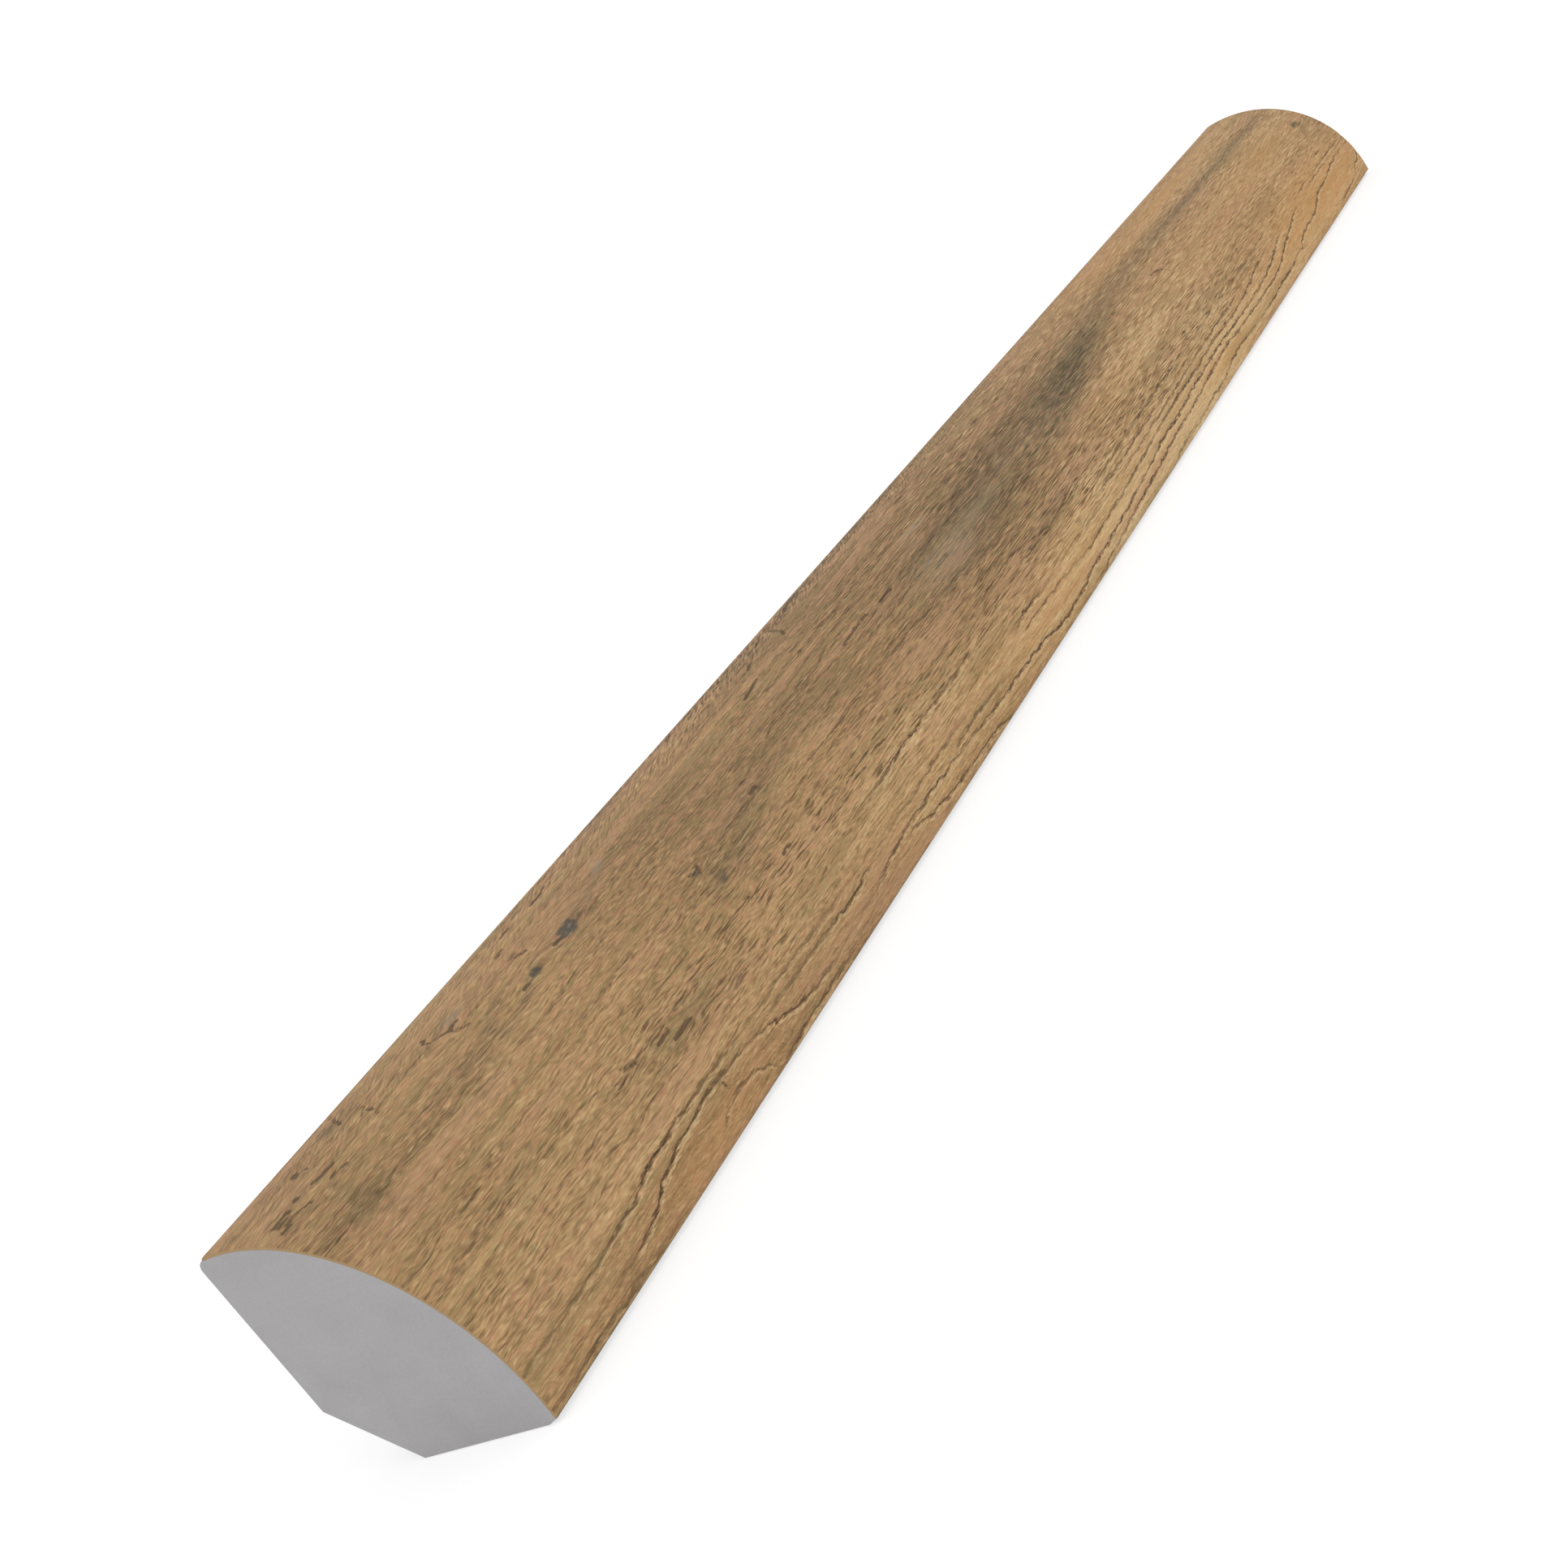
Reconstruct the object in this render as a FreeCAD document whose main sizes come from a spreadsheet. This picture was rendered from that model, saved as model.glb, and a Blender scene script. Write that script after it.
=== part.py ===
import FreeCAD, Part
import math
import os
import Sketcher

# Quarter round moulding: a length of trim that covers the joint between a floor and a wall.
# A grey plastic core, extruded in one piece, carries a printed wood-grain film on its round face.
# X runs along the length, +Y points at the wall and +Z is up. The origin is at the middle of the
# bottom of the part, so the wall face is at Y = leg / 2 and the floor face is at Z = 0.

doc = FreeCAD.newDocument("quarter_round_moulding")


# Driving sizes, in millimetres

driving_sizes = {
    "length": 264.0,  # from one square-cut end to the other
    "leg": 19.05,  # height on the wall, and width on the floor, film included
    "corner_cut": 5.5,  # legs of the 45 degree cut along the hidden back corner
    "nose_radius": 0.8,  # rounding of the top edge against the wall
    "nose_flat": 0.7,  # level strip between the nose and the round face
    "toe_bevel_width": 0.9,  # bevel under the toe, measured along the floor
    "toe_bevel_height": 0.3,  # bevel under the toe, measured up from the floor
    "film_thickness": 0.25,  # printed film, which stands proud of the core
}

sizes = doc.addObject("Spreadsheet::Sheet", "Sizes")
for row, (alias, value) in enumerate(driving_sizes.items(), start=1):
    sizes.set(f"A{row}", alias)
    sizes.set(f"B{row}", str(value))
    sizes.setAlias(f"B{row}", alias)
doc.recompute()

# Heights and widths that both outlines share
CORE_LEG = "(Sizes.leg - Sizes.film_thickness)"
ARC_STAND_OFF = "(Sizes.nose_radius + Sizes.nose_flat)"
WALL = "Sizes.leg / 2"

wall_y = sizes.leg / 2
core_leg = sizes.leg - sizes.film_thickness
arc_stand_off = sizes.nose_radius + sizes.nose_flat
nose_y = wall_y - sizes.nose_radius
arc_y = wall_y - arc_stand_off

START, END = 1, 2
ORIGIN = (-1, 1)
FLOOR_AXIS = -1


# Tools for drawing a section

def section_sketch(body, name):
    """A sketch across the length, with its own X along the part's Y and its own Y along Z."""
    sketch = body.newObject("Sketcher::SketchObject", name)
    across = [plane for plane in body.Origin.OriginFeatures if plane.Role == "YZ_Plane"]
    sketch.AttachmentSupport = [(across[0], "")]
    sketch.MapMode = "FlatFace"
    return sketch


def line(sketch, start, end):
    """Adds a straight edge and gives its number."""
    first = FreeCAD.Vector(*start, 0)
    last = FreeCAD.Vector(*end, 0)
    return sketch.addGeometry(Part.LineSegment(first, last), False)


def arc(sketch, centre, radius, start_degrees, end_degrees):
    """Adds a round edge, anticlockwise from its start, and gives its number."""
    circle = Part.Circle(FreeCAD.Vector(*centre, 0), FreeCAD.Vector(0, 0, 1), radius)
    turn = (math.radians(start_degrees), math.radians(end_degrees))
    return sketch.addGeometry(Part.ArcOfCircle(circle, *turn), False)


def join(sketch, kind, first, first_end, second, second_end):
    """Joins the ends of two edges, meeting at a corner (Coincident) or smoothly (Tangent)."""
    sketch.addConstraint(Sketcher.Constraint(kind, first, first_end, second, second_end))


def level(sketch, *edges):
    for edge in edges:
        sketch.addConstraint(Sketcher.Constraint("Horizontal", edge))


def upright(sketch, *edges):
    for edge in edges:
        sketch.addConstraint(Sketcher.Constraint("Vertical", edge))


def bind(sketch, name, constraint, size):
    """Adds a named dimension and ties it to the sheet."""
    number = sketch.addConstraint(constraint)
    sketch.renameConstraint(number, name)
    sketch.setExpression(f"Constraints.{name}", size)


def extrude(body, sketch):
    """Runs a section along the whole length, half to each side of the middle."""
    pad = body.newObject("PartDesign::Pad", f"{body.Label}_extrusion")
    pad.Profile = sketch
    pad.SideType = "Symmetric"
    pad.setExpression("Length", "Sizes.length")
    sketch.Visibility = False


# Core: the grey extrusion, with a flat face to the wall, a flat face to the floor and a round face

core = doc.addObject("PartDesign::Body", "core")
core.Label = "core"
outline = section_sketch(core, "core_section")

toe_y = wall_y - core_leg
toe_inner_y = toe_y + sizes.toe_bevel_width
cut_y = wall_y - sizes.corner_cut
nose_z = core_leg - sizes.nose_radius

wall_face = line(outline, (wall_y, sizes.corner_cut), (wall_y, nose_z))
nose = arc(outline, (nose_y, nose_z), sizes.nose_radius, 0, 90)
nose_flat = line(outline, (nose_y, core_leg), (arc_y, core_leg))
round_face = arc(outline, (arc_y, arc_stand_off), core_leg - arc_stand_off, 90, 180)
toe_flat = line(outline, (toe_y, arc_stand_off), (toe_y, sizes.toe_bevel_height))
toe_bevel = line(outline, (toe_y, sizes.toe_bevel_height), (toe_inner_y, 0))
floor_face = line(outline, (toe_inner_y, 0), (cut_y, 0))
corner_cut = line(outline, (cut_y, 0), (wall_y, sizes.corner_cut))

join(outline, "Tangent", wall_face, END, nose, START)
join(outline, "Tangent", nose, END, nose_flat, START)
join(outline, "Tangent", nose_flat, END, round_face, START)
join(outline, "Tangent", round_face, END, toe_flat, START)
join(outline, "Coincident", toe_flat, END, toe_bevel, START)
join(outline, "Coincident", toe_bevel, END, floor_face, START)
join(outline, "Coincident", floor_face, END, corner_cut, START)
join(outline, "Coincident", corner_cut, END, wall_face, START)
upright(outline, wall_face, toe_flat)
level(outline, nose_flat, floor_face)
outline.addConstraint(Sketcher.Constraint("PointOnObject", floor_face, START, FLOOR_AXIS))

bind(outline, "wall", Sketcher.Constraint("DistanceX", *ORIGIN, wall_face, START, wall_y), WALL)
bind(outline, "core_height",
     Sketcher.Constraint("DistanceY", *ORIGIN, nose_flat, START, core_leg), CORE_LEG)
bind(outline, "cut_width",
     Sketcher.Constraint("DistanceX", corner_cut, START, corner_cut, END, sizes.corner_cut),
     "Sizes.corner_cut")
bind(outline, "cut_height",
     Sketcher.Constraint("DistanceY", corner_cut, START, corner_cut, END, sizes.corner_cut),
     "Sizes.corner_cut")
bind(outline, "nose_radius", Sketcher.Constraint("Radius", nose, sizes.nose_radius),
     "Sizes.nose_radius")
bind(outline, "nose_flat",
     Sketcher.Constraint("DistanceX", nose_flat, END, nose_flat, START, sizes.nose_flat),
     "Sizes.nose_flat")
bind(outline, "round_radius",
     Sketcher.Constraint("Radius", round_face, core_leg - arc_stand_off),
     f"{CORE_LEG} - {ARC_STAND_OFF}")
bind(outline, "bevel_width",
     Sketcher.Constraint("DistanceX", toe_bevel, START, toe_bevel, END, sizes.toe_bevel_width),
     "Sizes.toe_bevel_width")
bind(outline, "bevel_height",
     Sketcher.Constraint("DistanceY", toe_bevel, END, toe_bevel, START, sizes.toe_bevel_height),
     "Sizes.toe_bevel_height")
extrude(core, outline)


# Film: the printed skin glued over the round face, trimmed at the nose and just above the floor

film = doc.addObject("PartDesign::Body", "wood_grain_film")
film.Label = "wood_grain_film"
outline = section_sketch(film, "film_section")

film_y = wall_y - sizes.leg
film_arc = sizes.leg - arc_stand_off
seat_arc = core_leg - arc_stand_off

nose_trim = line(outline, (nose_y, core_leg), (nose_y, sizes.leg))
top_flat = line(outline, (nose_y, sizes.leg), (arc_y, sizes.leg))
outer_face = arc(outline, (arc_y, arc_stand_off), film_arc, 90, 180)
outer_toe = line(outline, (film_y, arc_stand_off), (film_y, sizes.toe_bevel_height))
toe_trim = line(outline, (film_y, sizes.toe_bevel_height), (toe_y, sizes.toe_bevel_height))
inner_toe = line(outline, (toe_y, sizes.toe_bevel_height), (toe_y, arc_stand_off))
glued_face = arc(outline, (arc_y, arc_stand_off), seat_arc, 90, 180)
inner_flat = line(outline, (arc_y, core_leg), (nose_y, core_leg))

join(outline, "Coincident", nose_trim, END, top_flat, START)
join(outline, "Tangent", top_flat, END, outer_face, START)
join(outline, "Tangent", outer_face, END, outer_toe, START)
join(outline, "Coincident", outer_toe, END, toe_trim, START)
join(outline, "Coincident", toe_trim, END, inner_toe, START)
join(outline, "Tangent", inner_toe, END, glued_face, END)
join(outline, "Tangent", glued_face, START, inner_flat, START)
join(outline, "Coincident", inner_flat, END, nose_trim, START)
upright(outline, nose_trim, outer_toe, inner_toe)
level(outline, top_flat, toe_trim, inner_flat)

bind(outline, "nose_trim", Sketcher.Constraint("DistanceX", *ORIGIN, nose_trim, START, nose_y),
     f"{WALL} - Sizes.nose_radius")
bind(outline, "core_height",
     Sketcher.Constraint("DistanceY", *ORIGIN, nose_trim, START, core_leg), CORE_LEG)
bind(outline, "thickness",
     Sketcher.Constraint("DistanceY", nose_trim, START, nose_trim, END, sizes.film_thickness),
     "Sizes.film_thickness")
bind(outline, "nose_flat",
     Sketcher.Constraint("DistanceX", top_flat, END, top_flat, START, sizes.nose_flat),
     "Sizes.nose_flat")
bind(outline, "outer_radius", Sketcher.Constraint("Radius", outer_face, film_arc),
     f"Sizes.leg - {ARC_STAND_OFF}")
bind(outline, "seat_radius", Sketcher.Constraint("Radius", glued_face, seat_arc),
     f"{CORE_LEG} - {ARC_STAND_OFF}")
bind(outline, "seat_stand_off",
     Sketcher.Constraint("DistanceX", inner_flat, START, inner_flat, END, sizes.nose_flat),
     "Sizes.nose_flat")
bind(outline, "toe_trim",
     Sketcher.Constraint("DistanceY", *ORIGIN, toe_trim, START, sizes.toe_bevel_height),
     "Sizes.toe_bevel_height")
extrude(film, outline)


# Build, test and write

doc.recompute()
for item in doc.Objects:
    if "Invalid" in item.State or "Error" in item.State:
        raise RuntimeError(f"{item.Label} did not build: {item.State}")

sub_parts = [core, film]
for sub_part in sub_parts:
    if sub_part.Shape.isNull() or not sub_part.Shape.isValid():
        raise RuntimeError(f"{sub_part.Label} has no valid shape")

os.makedirs("parts", exist_ok=True)
for sub_part in sub_parts:
    sub_part.Shape.exportStep(f"parts/{sub_part.Label}.step")
    print(sub_part.Label, round(sub_part.Shape.Volume, 3), sub_part.Shape.BoundBox)
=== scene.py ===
import math

import bpy
import numpy
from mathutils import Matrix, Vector, noise


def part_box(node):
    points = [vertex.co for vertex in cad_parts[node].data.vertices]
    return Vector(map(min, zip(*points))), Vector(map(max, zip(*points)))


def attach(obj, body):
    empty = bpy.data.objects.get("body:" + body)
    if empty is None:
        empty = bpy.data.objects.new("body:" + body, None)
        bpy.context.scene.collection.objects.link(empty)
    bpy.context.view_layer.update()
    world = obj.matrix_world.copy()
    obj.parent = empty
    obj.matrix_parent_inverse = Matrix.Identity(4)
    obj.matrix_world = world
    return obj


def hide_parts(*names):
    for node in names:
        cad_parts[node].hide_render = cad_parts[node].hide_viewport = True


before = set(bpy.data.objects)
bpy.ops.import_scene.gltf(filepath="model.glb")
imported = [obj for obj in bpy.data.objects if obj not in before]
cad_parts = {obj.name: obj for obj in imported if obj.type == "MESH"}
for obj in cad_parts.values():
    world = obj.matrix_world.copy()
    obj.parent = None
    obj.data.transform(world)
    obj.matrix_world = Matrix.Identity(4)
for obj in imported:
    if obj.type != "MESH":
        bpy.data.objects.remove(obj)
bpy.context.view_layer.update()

scene = bpy.context.scene
scene.view_settings.view_transform = "Standard"


# Core: the body of the moulding, solid rigid PVC in a plain light grey. It is pushed through a die, so
# its long faces are straight and smooth, and both ends are cut square with a fine-toothed saw.

MM = 0.001
# Corners nearer to each other than this are at one place
CLOSE = 0.002 * MM
MERGE = CLOSE / 4

core_low, core_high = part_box("core")
film_low, film_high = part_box("wood_grain_film")
length = core_high.x - core_low.x
nose_radius = core_high.y - film_high.y
nose_flat = 0.7 * MM
corner_cut = 5.5 * MM
toe_bevel_width = 0.9 * MM
toe_bevel_height = film_low.z
broken_edge = 0.05 * MM
round_faces = 72
nose_faces = 10
core_smooth_angle = math.radians(20)

# The round face of the core and the film over it share one axis along the length
axis_y = film_high.y - nose_flat
axis_z = nose_radius + nose_flat
core_radius = core_high.z - axis_z


def read_corners(mesh):
    """The places of a mesh's corners, one row each."""
    corners = numpy.zeros((len(mesh.vertices), 3), numpy.float32)
    mesh.vertices.foreach_get("co", corners.ravel())
    return corners


def choose_edges(mesh, *places):
    """Goes to edit mode with only the edges selected whose two ends lie at one of the places."""
    bpy.ops.object.mode_set(mode="OBJECT")
    corners = read_corners(mesh)
    ends = numpy.zeros((len(mesh.edges), 2), numpy.int32)
    mesh.edges.foreach_get("vertices", ends.ravel())
    chosen = numpy.zeros(len(ends), bool)
    for place in places:
        lies = numpy.ones(len(corners), bool)
        for axis, value in place.items():
            lies &= abs(corners[:, "xyz".index(axis)] - value) < CLOSE
        chosen |= lies[ends].all(axis=1)
    mesh.vertices.foreach_set("select", numpy.zeros(len(corners), bool))
    mesh.polygons.foreach_set("select", numpy.zeros(len(mesh.polygons), bool))
    mesh.edges.foreach_set("select", chosen)
    bpy.ops.object.mode_set(mode="EDIT")
    bpy.ops.mesh.select_mode(type="EDGE")


def close_shell():
    """In edit mode, merges doubled corners and turns all faces outwards."""
    bpy.ops.mesh.select_all(action="SELECT")
    bpy.ops.mesh.remove_doubles(threshold=MERGE)
    bpy.ops.mesh.normals_make_consistent(inside=False)


bpy.ops.object.select_all(action="DESELECT")
bpy.ops.mesh.primitive_cube_add(size=1, location=(core_low + core_high) / 2, scale=core_high - core_low)
core = bpy.context.object
core.name = "extruded_core"
bpy.ops.object.transform_apply()

# Round face, rounded nose and hidden back corner
choose_edges(core.data, {"y": core_low.y, "z": core_high.z})
bpy.ops.mesh.bevel(offset=core_radius, segments=round_faces, affect="EDGES")
choose_edges(core.data, {"y": core_high.y, "z": core_high.z})
bpy.ops.mesh.bevel(offset=nose_radius, segments=nose_faces, affect="EDGES")
choose_edges(core.data, {"y": core_high.y, "z": core_low.z})
bpy.ops.mesh.bevel(offset=corner_cut, segments=1, affect="EDGES")

# Bevel under the toe
bpy.ops.mesh.select_all(action="SELECT")
bpy.ops.mesh.bisect(
    plane_co=(0, core_low.y, toe_bevel_height),
    plane_no=Vector((0, -toe_bevel_height, -toe_bevel_width)).normalized(),
    use_fill=True,
    clear_outer=True,
    threshold=MERGE,
)

# The saw leaves a hair of broken edge round both ends
for end in (core_low.x, core_high.x):
    choose_edges(core.data, {"x": end})
    bpy.ops.mesh.bevel(offset=broken_edge, segments=2, affect="EDGES")
close_shell()
bpy.ops.object.mode_set(mode="OBJECT")
bpy.ops.object.shade_smooth_by_angle(angle=core_smooth_angle)


def linear(hex_colour):
    """Turns an sRGB hex colour into the linear colour that a shader takes."""
    channels = [int(hex_colour[at:at + 2], 16) / 255 for at in (1, 3, 5)]
    bent = [c / 12.92 if c <= 0.04045 else ((c + 0.055) / 1.055) ** 2.4 for c in channels]
    return (*bent, 1.0)


def add(nodes, kind, links=None, **settings):
    """Adds a node with its settings, and sets or links its inputs, given by name or by number."""
    node = nodes.new(kind)
    for setting, value in settings.items():
        setattr(node, setting, value)
    for key, value in (links or {}).items():
        sockets = [socket for socket in node.inputs if socket.enabled and socket.name == key]
        socket = sockets[0] if sockets else node.inputs[key]
        if isinstance(value, bpy.types.Node):
            value = next(output for output in value.outputs if output.enabled)
        if isinstance(value, bpy.types.NodeSocket):
            node.id_data.links.new(value, socket)
        else:
            socket.default_value = value
    return node


def grey_pvc(name, mark_size, turn):
    """Rigid PVC, grey all through: dull, faintly clouded, with tool marks of a size in millimetres."""
    material = bpy.data.materials.new(name)
    material.use_nodes = True
    nodes = material.node_tree.nodes
    shader = nodes["Principled BSDF"]
    shader.inputs["Roughness"].default_value = 0.6
    shader.inputs["IOR"].default_value = 1.53
    place = add(nodes, "ShaderNodeTexCoord").outputs["Object"]

    # Clouds of filler about 4 mm across, a shade apart
    cloud_scale = 1 / (4 * MM)
    clouds = add(nodes, "ShaderNodeTexNoise", {"Vector": place, "Scale": cloud_scale, "Detail": 4.0})
    # Grains of filler of 0.25 mm, drawn coarser than the real powder, which is too fine to show
    grain_scale = 1 / (0.25 * MM)
    grains = add(nodes, "ShaderNodeTexNoise", {"Vector": place, "Scale": grain_scale, "Detail": 2.0})
    marks_place = add(
        nodes, "ShaderNodeMapping",
        {"Vector": place, "Rotation": turn, "Scale": [1 / (size * MM) for size in mark_size]})
    marks = add(nodes, "ShaderNodeTexNoise", {"Vector": marks_place, "Scale": 1.0, "Detail": 2.0})

    mottle = add(nodes, "ShaderNodeMix", {"Factor": 0.4, "A": clouds, "B": grains}, data_type="FLOAT")
    mottle = add(nodes, "ShaderNodeMix", {"Factor": 0.12, "A": mottle, "B": marks}, data_type="FLOAT")
    spread = add(nodes, "ShaderNodeMapRange", {"Value": mottle, 1: 0.35, 2: 0.65})
    colour = add(
        nodes, "ShaderNodeMix",
        {"Factor": spread, "A": linear("#A7A5A6"), "B": linear("#B0AEAF")}, data_type="RGBA")
    relief = add(nodes, "ShaderNodeMath", {0: grains, 1: marks}, operation="ADD")
    bump = add(nodes, "ShaderNodeBump", {"Height": relief, "Strength": 0.25, "Distance": 0.02 * MM})
    material.node_tree.links.new(colour.outputs[2], shader.inputs["Base Color"])
    material.node_tree.links.new(bump.outputs["Normal"], shader.inputs["Normal"])
    return material


# Die lines run the whole length; saw lines cross the ends on a slant, half a millimetre apart
die_lines = (90, 0.4, 0.4)
die_turn = (0.0, 0.0, 0.0)
saw_lines = (1, 9, 0.5)
saw_turn = (math.radians(25), 0.0, 0.0)
core.data.materials.append(grey_pvc("extruded_rigid_pvc", die_lines, die_turn))
core.data.materials.append(grey_pvc("sawn_rigid_pvc", saw_lines, saw_turn))
for face in core.data.polygons:
    on_an_end = abs(face.normal.x) > 0.5
    face.material_index = int(on_an_end)

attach(core, "root")
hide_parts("core")


# Film: a thin PVC foil, printed with a picture of old oak and pressed while warm with its growth lines,
# cracks and knots. It is glued round the core in one strip, from the nose over the round face to the toe.

film_radius = film_high.z - axis_z
toe_drop = axis_z - film_low.z
film_smooth_angle = math.radians(40)

# Faces along one stretch of the film, its repeats, and faces over the nose flat, round face and toe
face_side = {"columns": 24, "repeats": 25, "rows": (4, 144, 8)}
glue_side = {"columns": 24, "repeats": 1, "rows": (1, 36, 2)}


def wrap_strip(radius, columns, repeats, rows):
    """Makes one side of the film: a nose flat, spun round the face, drawn down the toe and repeated."""
    flat_rows, round_rows, toe_rows = rows
    stretch = length / repeats
    bpy.ops.object.select_all(action="DESELECT")
    bpy.ops.mesh.primitive_grid_add(
        x_subdivisions=columns,
        y_subdivisions=flat_rows,
        size=1,
        location=(core_low.x + stretch / 2, axis_y + nose_flat / 2, axis_z + radius),
        calc_uvs=False,
    )
    strip = bpy.context.object
    strip.scale = (stretch, nose_flat, 1)
    bpy.ops.object.transform_apply()
    choose_edges(strip.data, {"y": axis_y})
    # With no window, spin turns the other way, so the angle is negative
    bpy.ops.mesh.spin(
        steps=round_rows, angle=-math.pi / 2, center=(0, axis_y, axis_z), axis=(1, 0, 0))
    for _ in range(toe_rows):
        bpy.ops.mesh.extrude_region_move(TRANSFORM_OT_translate={"value": (0, 0, -toe_drop / toe_rows)})
    bpy.ops.object.mode_set(mode="OBJECT")
    repeat = strip.modifiers.new("along_the_length", "ARRAY")
    repeat.count = repeats
    repeat.use_merge_vertices = True
    repeat.merge_threshold = CLOSE
    bpy.ops.object.modifier_apply(modifier=repeat.name)
    return strip


film = wrap_strip(film_radius, **face_side)
film.name = "printed_film"
face_mark = film.data.attributes.new("on_face", "FLOAT", "POINT")
face_mark.data.foreach_set("value", numpy.ones(len(film.data.vertices), numpy.float32))

# The roller that lays the film presses its trimmed edges down thin
edge_roll = 0.2 * MM
next_row = film_high.y - nose_flat / face_side["rows"][0]
choose_edges(film.data, {"y": film_high.y, "z": film_high.z})
bpy.ops.transform.translate(value=(0, 0, -edge_roll))
choose_edges(film.data, {"y": next_row, "z": film_high.z})
bpy.ops.transform.translate(value=(0, 0, -edge_roll / 3))
choose_edges(film.data, {"y": film_low.y, "z": film_low.z})
bpy.ops.transform.translate(value=(0, edge_roll, 0))
bpy.ops.object.mode_set(mode="OBJECT")

wrap_strip(core_radius, **glue_side)
film.select_set(True)
bpy.context.view_layer.objects.active = film
bpy.ops.object.join()

# The two sides are closed along the sawn ends and the trimmed edges at the nose and the toe
for end in (core_low.x, core_high.x):
    choose_edges(film.data, {"x": end})
    bpy.ops.mesh.bridge_edge_loops()
nose_edges = {"y": film_high.y, "z": film_high.z - edge_roll}, {"y": film_high.y, "z": core_high.z}
toe_edges = {"y": film_low.y + edge_roll, "z": film_low.z}, {"y": core_low.y, "z": film_low.z}
for edges in (nose_edges, toe_edges):
    choose_edges(film.data, *edges)
    bpy.ops.mesh.bridge_edge_loops()
close_shell()
bpy.ops.object.mode_set(mode="OBJECT")

# The repeats run a hair past the far end, so its corners are set back onto the end
corners = read_corners(film.data)
corners[:, 0] = numpy.clip(corners[:, 0], core_low.x, core_high.x)
film.data.vertices.foreach_set("co", corners.ravel())

# Where each corner lies on the strip laid flat, in millimetres along it and round it from the nose
ahead = axis_y - corners[:, 1]
above = corners[:, 2] - axis_z
on_round = film_radius * numpy.arctan2(ahead, above)
on_toe = film_radius * math.pi / 2 - above
along = (corners[:, 0] - core_low.x) / MM
around = (nose_flat + numpy.where(ahead < 0, ahead, numpy.where(above < 0, on_toe, on_round))) / MM


def write_field(name, *values):
    """Stores two or three numbers at every corner of the film, for the print to read."""
    triple = numpy.zeros((len(corners), 3), numpy.float32)
    triple[:, :len(values)] = numpy.stack(values, axis=1)
    field = film.data.attributes.new(name, "FLOAT_VECTOR", "POINT")
    field.data.foreach_set("vector", triple.ravel())


def blots(*ovals):
    """Soft oval marks: millimetres along and round, half length, half width, slope and strength of each."""
    cover = numpy.zeros(len(corners))
    for at_along, at_around, half_length, half_width, slope, strength in ovals:
        run = (along - at_along) / half_length
        rise = (around - at_around - slope * (along - at_along)) / half_width
        cover += strength * numpy.exp(-(run ** 2 + rise ** 2))
    return cover


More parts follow.
